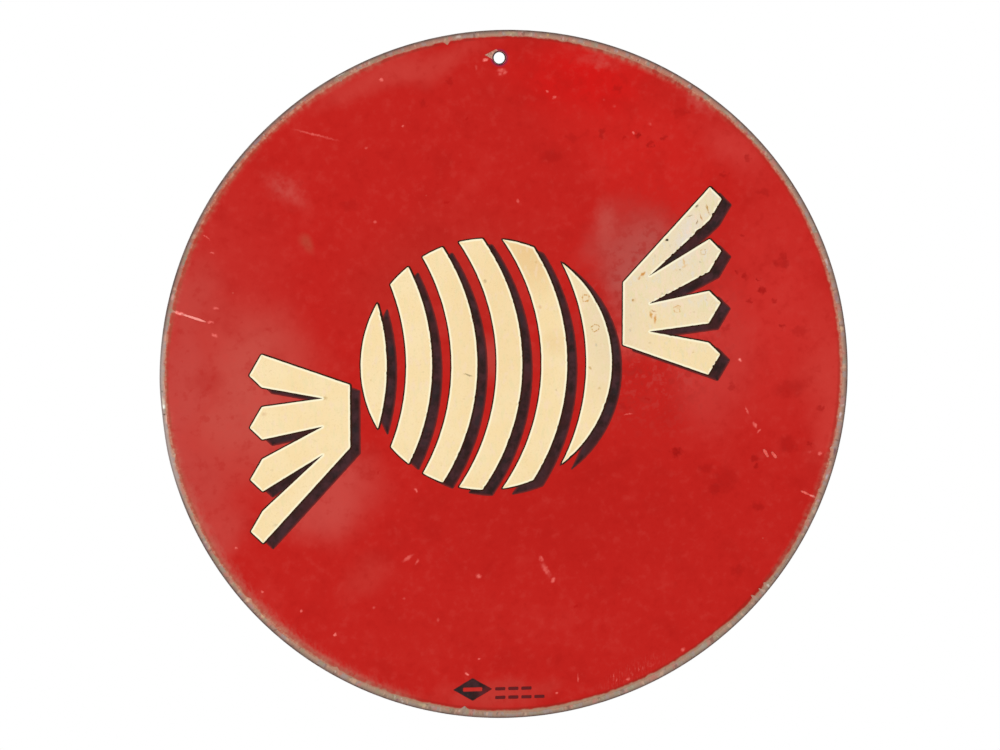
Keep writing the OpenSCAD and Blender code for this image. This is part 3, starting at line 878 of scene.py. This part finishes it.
def black_enamel():
    """Charcoal print with a purple and brown cast, redder where it has worn thin."""
    paint = Paint("black_enamel", specular=0.06)
    cloudy = paint.patches(5 * MM, 41.0, detail=5, roughness=0.65)
    warm = paint.patches(9 * MM, 43.0, detail=3)
    fine = paint.patches(1.2 * MM, 42.0, detail=3)
    paint.colour = paint.over("#291917", "#45292d", paint.step(cloudy, 0.36, 0.64))
    paint.lay("#421f1f", paint.step(warm, 0.5, 0.66, 0, 0.6))
    paint.lay("#282325", paint.step(warm, 0.47, 0.34, 0, 0.6))
    paint.lay("#5c2a2e", paint.step(fine, 0.55, 0.8, 0, 0.4))
    edge = paint.wear()
    paint.lay("#561e20", edge, 0.9)
    paint.lay("#7c2926", paint.step(edge, 0.6, 1.0, 0, 0.7))
    bars = paint.spot(seen_at(BARS_PX), 20 * MM, 7 * MM, -2, core=0.6)
    paint.lay("#6b1a1c", bars, 0.75)
    paint.bumps(fine, 0.02 * MM)
    return paint.finish(paint.step(cloudy, 0.3, 0.7, 0.38, 0.55))


def line_enamel(name, darker, lighter):
    """Dark enamel of the thin line round a print, in two shades."""
    paint = Paint(name, specular=0.06)
    fine = paint.patches(1.5 * MM, 45.0)
    paint.colour = paint.over(darker, lighter, paint.step(fine, 0.35, 0.7))
    return paint.finish(paint.step(fine, 0.3, 0.7, 0.4, 0.55))


def cream_enamel():
    """Cream print: warm at the left, golden and then greyer to the right, where drops have stained it."""
    paint = Paint("cream_enamel", specular=0.15)
    area_drift = paint.drifted(12 * MM, 6 * MM, 50.0)
    grain = paint.patches(0.8 * MM, 58.0, detail=2)
    cloudy = paint.patches(12 * MM, 51.0, detail=4)
    right = paint.spot(seen_at(STAINED_PX), 56 * MM, 62 * MM, core=0.35)
    paint.colour = paint.over("#f6deaf", "#f5daa6", paint.step(cloudy, 0.35, 0.65))
    lay_areas(paint, CREAM_AREAS, area_drift)
    lay_streaks(paint, right)
    paint.lay("#e0c592", paint.step(grain, 0.54, 0.7, 0, 0.35))
    lay_drops(paint, grain)
    pits = paint.specks(8 * MM, 0.4 * MM, 0.4, 54.0)
    paint.lay("#8a7350", paint.both(pits, paint.step(right, 0, 0.6, 0.15, 0.7)))
    paint.lay("#fffada", paint.step(paint.wear(), 0.0, 0.55, 0, 0.72))
    paint.bumps(paint.patches(2 * MM, 55.0, detail=2), 0.025 * MM)
    return paint.finish(paint.step(cloudy, 0.3, 0.7, 0.34, 0.48))


def lay_streaks(paint, right):
    """Lays the cream print's upright greenish, pinkish and grey streaks, stronger towards the right."""
    greenish = paint.patches(1.0, 52.0, detail=3, place=paint.along(1.8 * MM, 6 * MM))
    pinkish = paint.patches(1.0, 56.0, detail=3, place=paint.along(2.4 * MM, 5 * MM))
    paint.lay("#e3d8a6", paint.both(paint.step(greenish, 0.5, 0.66), paint.step(right, 0, 1, 0.35, 0.7)))
    paint.lay("#f4d8bd", paint.both(paint.step(pinkish, 0.52, 0.66), paint.step(right, 0, 1, 0.4, 0.7)))
    paint.lay("#e2dace", paint.both(paint.step(pinkish, 0.46, 0.34), paint.both(right, 0.6)))


def lay_drops(paint, grain):
    """Lays the cream print's stains, and the broken rings that drops have left."""
    stain_drift = paint.drifted(0.9 * MM, 0.6 * MM, 53.0)
    for pixel, long, wide, turn, strength, shade in CREAM_STAINS:
        paint.lay(shade, mark(paint, pixel, long, wide, STAIN_REACH, turn, 0.15, stain_drift), strength)
    ring_drift = paint.drifted(1.7 * MM, 1.0 * MM, 59.0)
    broken = paint.step(grain, 0.42, 0.54, 0.3, 1.4)
    for pixel, radius, strength, shade in CREAM_RINGS:
        ring = paint.ring(seen_at(pixel), radius * MM, ring_drift)
        paint.lay(shade, paint.both(ring, paint.both(broken, strength)))


# Bites out of the red coat's edge: pixel of the photograph on that edge, depth and half width in mm
RIM_NOTCHES = {
    "top_left": ((447, 43), 1.7, 1.7),
    "upper_left": ((340, 79), 1.2, 1.6),
    "left_scratch": ((171.5, 311), 2.2, 0.6),
    "left_low": ((173, 455), 0.9, 3.0),
    "lower_left": ((250, 600), 1.3, 2.4),
    "bottom_left": ((333, 674), 1.2, 2.6),
    "bottom": ((465, 704), 2.0, 2.6),
    "bottom_shoulder": ((474, 705), 1.0, 2.6),
    "lower_right_long": ((766, 584.5), 2.0, 1.8),
    "lower_right_middle": ((760, 589.5), 2.3, 0.7),
    "lower_right_short": ((753.5, 597), 2.5, 1.2),
    "right_patch": ((838, 450), 1.3, 2.6),
    "right_low": ((826, 492), 1.1, 1.2),
}

# Where the bare rim is wider or narrower: bearing, spread to each side in degrees and millimetres more
RIM_WIDTHS = {
    "right": (348, 24, 0.25),
    "top": (66, 44, -0.2),
    "upper_left": (132, 46, -0.8),
    "left": (182, 44, -0.45),
    "lower_left": (248, 26, 0.4),
    "lower_right": (300, 22, 0.6),
    "right_below": (321, 14, -0.5),
}

# Ripples of the red coat's edge: size and height in mm
RIM_RIPPLES = ((24, 0.25), (5, 0.3), (1.9, 0.16), (0.8, 0.08))

# How much further out the red coat lies than its round, as its thin edge looks like the ground coat
RED_SPREAD = 0.6 * MM


def rim_loss(point):
    """How far the red coat's edge lies out from its round at a point."""
    angle = bearing(point)
    reach = RED_SPREAD
    for seed, (size, height) in enumerate(RIM_RIPPLES, 1):
        reach += height * MM * ripple(point, size * MM, seed)
    for at, spread, more in RIM_WIDTHS.values():
        away = min(1, apart(angle, at) / spread)
        reach -= more * MM * (1 + cos(pi * away)) / 2
    for pixel, depth, half in RIM_NOTCHES.values():
        away = apart(angle, bearing(seen_at(pixel)))
        reach -= depth * MM * max(0, 1 - radians(away) * DISC_R / (half * MM))
    return reach


# The chip at the hanging hole, between two straight sides: bearing and distance in mm of each side's nearest
# point from the hole's centre, the bearings between which it lies, and the degrees over which it starts
HOLE_CHIP_SIDES = ((114, 3.63), (241, 1.71))
HOLE_CHIP_FROM = 99
HOLE_CHIP_TO = 190
HOLE_CHIP_START = 9


def hole_loss(point):
    """How far the red coat has broken away round the hanging hole."""
    angle = degrees(atan2(point.z, point.x)) % 360
    chipped = 0
    if HOLE_CHIP_FROM < angle < HOLE_CHIP_TO:
        facing = [(max(0.01, cos(radians(angle - at))), far * MM) for at, far in HOLE_CHIP_SIDES]
        reach = min(far / turned for turned, far in facing)
        chipped = max(0, reach - COAT_HOLE_R) * min(1, (angle - HOLE_CHIP_FROM) / HOLE_CHIP_START)
    return chipped + 0.09 * MM * ripple(point, 1.1 * MM, 8)


# Size and turn of the chip through the red coat
CHIP_LENGTH = 3.0 * MM
CHIP_WIDTH = 2.7 * MM
CHIP_TURN = 20

# Scratches through the red coat: the pixels of the photograph at both ends, and the width in mm
RED_SCRATCHES = (
    ((181.5, 314.1), (206, 322), 0.9), ((763.3, 449.3), (768.7, 457), 1.1), ((771.7, 452), (776.3, 458), 1.2),
    ((801, 491), (809.5, 494.8), 0.8),
)

# Seeds of the ripples in the chip's edge and in the scratches' edges
CHIP_SEED = 0
SCRATCH_SEED = 50


def ragged(outline, size, seed):
    """Roughens a small outline by a share of its size."""
    return outline.push_out(lambda place: 0.22 * size * ripple(place, max(size, 0.35 * MM), seed))


def red_losses(bm, levels):
    """Walls of the chip and the scratches that go through the red coat."""
    chip = oval(bm, seen_at(CHIP_PX), CHIP_LENGTH / 2, CHIP_WIDTH / 2, CHIP_TURN)
    losses = [(ragged(chip, CHIP_WIDTH, CHIP_SEED).around_hole(), levels)]
    for seed, (start, end, width) in enumerate(RED_SCRATCHES, SCRATCH_SEED):
        span = seen_at(end) - seen_at(start)
        middle = (seen_at(start) + seen_at(end)) / 2
        turn = degrees(atan2(span.z, span.x))
        scratch = oval(bm, middle, span.length / 2, width / 2 * MM, turn, points=48)
        losses.append((ragged(scratch, width * MM, seed).around_hole(), levels))
    return losses


def steel_loss(point):
    """How far the blank's edge lies out from its round: a negative reach, as it is worn or dented."""
    away = min(1, apart(bearing(point), DENT_AT) / DENT_HALF)
    return -DENT_DEPTH * (1 + cos(pi * away)) / 2 - 0.03 * MM * abs(ripple(point, 6 * MM, 5))


def make_steel():
    """The blank, round at its edges, with a slightly worn and dented rim and the punched hole."""
    back_y, front_y = depths("steel_disc")
    bm = new_sheet()
    rim = rim_round(bm, DISC_R).push_out(steel_loss)
    piece = make_plate("steel", bm, [
        (rim, levels_of(back_y, front_y, FRONT_ROUND, BACK_ROUND, steps=6)),
        (hole_round(bm, HOLE_R).around_hole(), levels_of(back_y, front_y, COAT_ROUND, COAT_ROUND)),
    ])
    dress(piece, "steel_disc", bare_steel())


def make_ground(name, node, radius, material):
    """A ground coat, with a slightly uneven edge at the rim and round the hole."""
    back_y, front_y = depths(node)
    bm = new_sheet()
    rim = rim_round(bm, radius)
    rim.push_out(lambda place: steel_loss(place) - 0.1 * MM * (1 + ripple(place, 1.3 * MM, 6)))
    hole = hole_round(bm, COAT_HOLE_R)
    hole.push_out(lambda place: 0.08 * MM * ripple(place, 1.3 * MM, 7))
    levels = levels_of(back_y, front_y, COAT_ROUND, steps=2, collar=0.3 * MM)
    piece = make_plate(name, bm, [(rim, levels), (hole.around_hole(), levels)])
    dress(piece, node, material)


def make_red():
    """The red coat, with its ragged edge, the chip at the hole, and the losses that go through it."""
    back_y, front_y = depths("red_field")
    bm = new_sheet()
    rim = rim_round(bm, RED_R).push_out(rim_loss)
    hole = hole_round(bm, COAT_HOLE_R).push_out(hole_loss)
    rim_levels = levels_of(back_y, front_y, COAT_ROUND, steps=2, collar=1.5 * MM)
    hole_levels = levels_of(back_y, front_y, COAT_ROUND, steps=2, collar=0.5 * MM)
    chip_levels = levels_of(back_y, front_y, PRINT_ROUND, steps=2, collar=0.25 * MM)
    losses = [(hole.around_hole(), hole_levels)] + red_losses(bm, chip_levels)
    piece = make_plate("red_coat", bm, [(rim, rim_levels)] + losses)
    dress(piece, "red_field", red_enamel())


def print_loops(node):
    """Mesh of the fine outlines of a print, with slightly soft corners, from its CAD node's front."""
    bm = bmesh.new()
    bm.from_mesh(bpy.data.objects[node].data)
    bm.verts.layers.float.new("wear")
    bmesh.ops.remove_doubles(bm, verts=bm.verts[:], dist=0.002 * MM)
    behind = [face for face in bm.faces if face.normal.dot(FACING) < 0.9]
    bmesh.ops.delete(bm, geom=behind, context="FACES")
    cuts = {}
    for edge in bm.edges:
        if edge.is_boundary:
            cuts.setdefault(round(edge.calc_length() / PRINT_STEP) - 1, []).append(edge)
    for count, edges in cuts.items():
        if count > 0:
            bmesh.ops.subdivide_edges(bm, edges=edges, cuts=count)
    loops = boundary_loops(bm)
    bmesh.ops.delete(bm, geom=[edge for edge in bm.edges if not edge.is_boundary], context="EDGES")
    for _ in range(2):
        bmesh.ops.smooth_vert(bm, verts=bm.verts[:], factor=0.5, use_axis_x=True, use_axis_z=True)
    return bm, [Outline(loop) for loop in loops]


def boundary_loops(bm):
    """Loops of vertices round a flat mesh, each with the faces on its left."""
    ahead = {}
    for edge in bm.edges:
        if edge.is_boundary:
            corner = edge.link_loops[0]
            ahead[corner.vert] = corner.link_loop_next.vert
    loops = []
    while ahead:
        vert = next(iter(ahead))
        loop = []
        while vert in ahead:
            loop.append(vert)
            vert = ahead.pop(vert)
        loops.append(loop)
    return loops


def measure_rooms(outlines, most, outward=-1):
    """Finds how far each vertex can move in, or out, before it comes as near to another side."""
    tree = KDTree(sum(len(outline.loop) for outline in outlines))
    for outline in outlines:
        for vert in outline.loop:
            tree.insert(vert.co, 0)
    tree.balance()
    for outline in outlines:
        rooms = []
        for vert, way in zip(outline.loop, outline.ways):
            room = most
            while tree.find(vert.co + way * room * outward)[2] < room * 0.98:
                room *= 0.85
            rooms.append(room if room == most else room * 0.85)
        outline.rooms = [min(near) for near in zip(rooms, rooms[1:] + rooms[:1], rooms[-1:] + rooms[:-1])]


def make_print(node, material, seed, collar, nicks=0.0):
    """A printed coat with a slightly uneven edge; nicks is how deep the losses of its right sides go."""
    back_y, front_y = depths(node)
    bm, outlines = print_loops(node)

    def unevenness(place):
        return 0.06 * MM * ripple(place, 2.4 * MM, seed) + 0.03 * MM * ripple(place, 0.9 * MM, seed)

    for outline in outlines:
        outline.push_out(unevenness)
        outline.nick(1.5 * MM, nicks, 0.15, seed + 9)
    levels = levels_of(back_y, front_y, PRINT_ROUND, steps=2, collar=collar)
    measure_rooms(outlines, collar + PRINT_ROUND)
    piece = make_plate(node + "_print", bm, [(outline, levels) for outline in outlines])
    dress(piece, node, material)


# Widths of the black print's softer edge, of the edge mark's, and of the cream print's brighter edge
SOFT_EDGE = 0.9 * MM
MARK_EDGE = 0.4 * MM
BRIGHT_EDGE = 1.0 * MM

# How deep the nicks in the right sides of each cream print are, and of the edge mark
CREAM_NICKS = {"round": 0.3 * MM, "left_twist": 0.15 * MM, "right_twist": 1.1 * MM}
MARK_NICKS = 0.2 * MM

# Seeds of the ripples of the first black and cream prints and of the edge mark, and the step to the next
BLACK_SEED = 60
CREAM_SEED = 100
SEED_STEP = 10
MARK_SEED = 90

# Widths of the dark line round the cream print, of what it is wider by at the right, and of the dark red line
# round the black print, and the thickness of both lines
LINE_SPREAD = 0.53 * MM
LINE_RIGHT = 0.3 * MM
RED_LINE_SPREAD = 0.26 * MM
LINE_T = 0.02 * MM


def make_line(node, material, width, more_right=0.0):
    """The thin line that sets off a print all round."""
    back_y = depths(node)[0]
    bm, outlines = print_loops(node)
    measure_rooms(outlines, width + more_right + 0.1 * MM, outward=1)

    def spread(place):
        return width + 0.07 * MM * ripple(place, 2 * MM, 70)

    levels = [(0.0, back_y, 1.0), (0.0, back_y - LINE_T, 1.0)]
    for outline in outlines:
        outline.push_out(spread, more_right)
        outline.rooms = [DISC_R] * len(outline.loop)
    piece = make_plate(node + "_line", bm, [(outline, levels) for outline in outlines])
    piece.data.materials.append(material)
    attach(piece, "root")


def make_prints():
    """The black prints, the cream prints over them, the thin lines round both, and the edge mark."""
    black = black_enamel()
    cream = cream_enamel()
    line = line_enamel("line_enamel", "#2c190c", "#3c1a0e")
    red_line = line_enamel("red_line_enamel", "#5f2320", "#7c2c28")
    for i, (part, depth) in enumerate(CREAM_NICKS.items()):
        make_line("shadow_" + part, red_line, RED_LINE_SPREAD)
        make_print("shadow_" + part, black, BLACK_SEED + SEED_STEP * i, SOFT_EDGE)
        make_line("cream_" + part, line, LINE_SPREAD, LINE_RIGHT)
        make_print("cream_" + part, cream, CREAM_SEED + SEED_STEP * i, BRIGHT_EDGE, depth)
    make_print("edge_mark", black, MARK_SEED, MARK_EDGE, MARK_NICKS)


# Colour and strength of the studio's even light, and of the white that is seen or mirrored
SOFT_LIGHT = ((0.99, 0.995, 1.0, 1.0), 0.83)
WHITE_LIGHT = ((1.0, 1.0, 1.0, 1.0), 1.0)

# The floor's half size, and how far in front of the disc's plane and below its centre it lies
FLOOR_HALF = 0.5
FLOOR_FORWARD = 0.12
FLOOR_DROP = 0.32


def make_world():
    """White wherever it is seen or mirrored, and an even soft light elsewhere."""
    world = bpy.data.worlds.new("studio")
    bpy.context.scene.world = world
    world.use_nodes = True
    nodes = world.node_tree.nodes
    links = world.node_tree.links
    nodes.clear()
    path = nodes.new("ShaderNodeLightPath")
    seen = path.outputs["Is Camera Ray"]
    for ray in ("Is Glossy Ray", "Is Transmission Ray"):
        either = nodes.new("ShaderNodeMath")
        either.operation = "MAXIMUM"
        links.new(seen, either.inputs[0])
        links.new(path.outputs[ray], either.inputs[1])
        seen = either.outputs[0]
    mix = nodes.new("ShaderNodeMixShader")
    links.new(seen, mix.inputs[0])
    for socket, (colour, strength) in enumerate((SOFT_LIGHT, WHITE_LIGHT), 1):
        light = nodes.new("ShaderNodeBackground")
        light.inputs["Color"].default_value = colour
        light.inputs["Strength"].default_value = strength
        links.new(light.outputs[0], mix.inputs[socket])
    output = nodes.new("ShaderNodeOutputWorld")
    links.new(mix.outputs[0], output.inputs["Surface"])


def make_floor():
    """Plain pale floor, below the photograph's view."""
    bm = bmesh.new()
    bmesh.ops.create_grid(bm, x_segments=1, y_segments=1, size=FLOOR_HALF)
    bmesh.ops.translate(bm, verts=bm.verts[:], vec=(DISC_X, -FLOOR_FORWARD, DISC_Z - FLOOR_DROP))
    mesh = bpy.data.meshes.new("floor")
    bm.to_mesh(mesh)
    bm.free()
    floor = bpy.data.objects.new("floor", mesh)
    bpy.context.scene.collection.objects.link(floor)
    paint = Paint("floor_white", specular=0.2)
    faint = paint.patches(80 * MM, 80.0)
    paint.colour = paint.over("#ececec", "#e8e8e8", faint)
    mesh.materials.append(paint.finish(paint.step(faint, 0, 1, 0.7, 0.9)))


def make_lamp(name, place, size, power):
    """Round lamp that faces the disc's centre, with its place and size in metres and its power in watts."""
    data = bpy.data.lights.new(name, "AREA")
    data.shape = "DISK"
    data.size = size
    data.energy = power
    lamp = bpy.data.objects.new(name, data)
    bpy.context.scene.collection.objects.link(lamp)
    lamp.location = place
    lamp.rotation_euler = (DISC_CENTRE - Vector(place)).to_track_quat("-Z", "Y").to_euler()


make_steel()
make_ground("back_ground", "back_coat", DISC_R - BACK_ROUND, back_ground())
make_ground("front_ground", "front_primer", DISC_R - FRONT_ROUND, front_ground())
make_red()
make_prints()
make_floor()
make_world()
make_lamp("key", (-1.3, -1.9, 0.9), 1.2, 18)
make_lamp("back_fill", (0.9, 2.0, 0.7), 1.2, 9)
bpy.context.scene.view_settings.view_transform = "Standard"
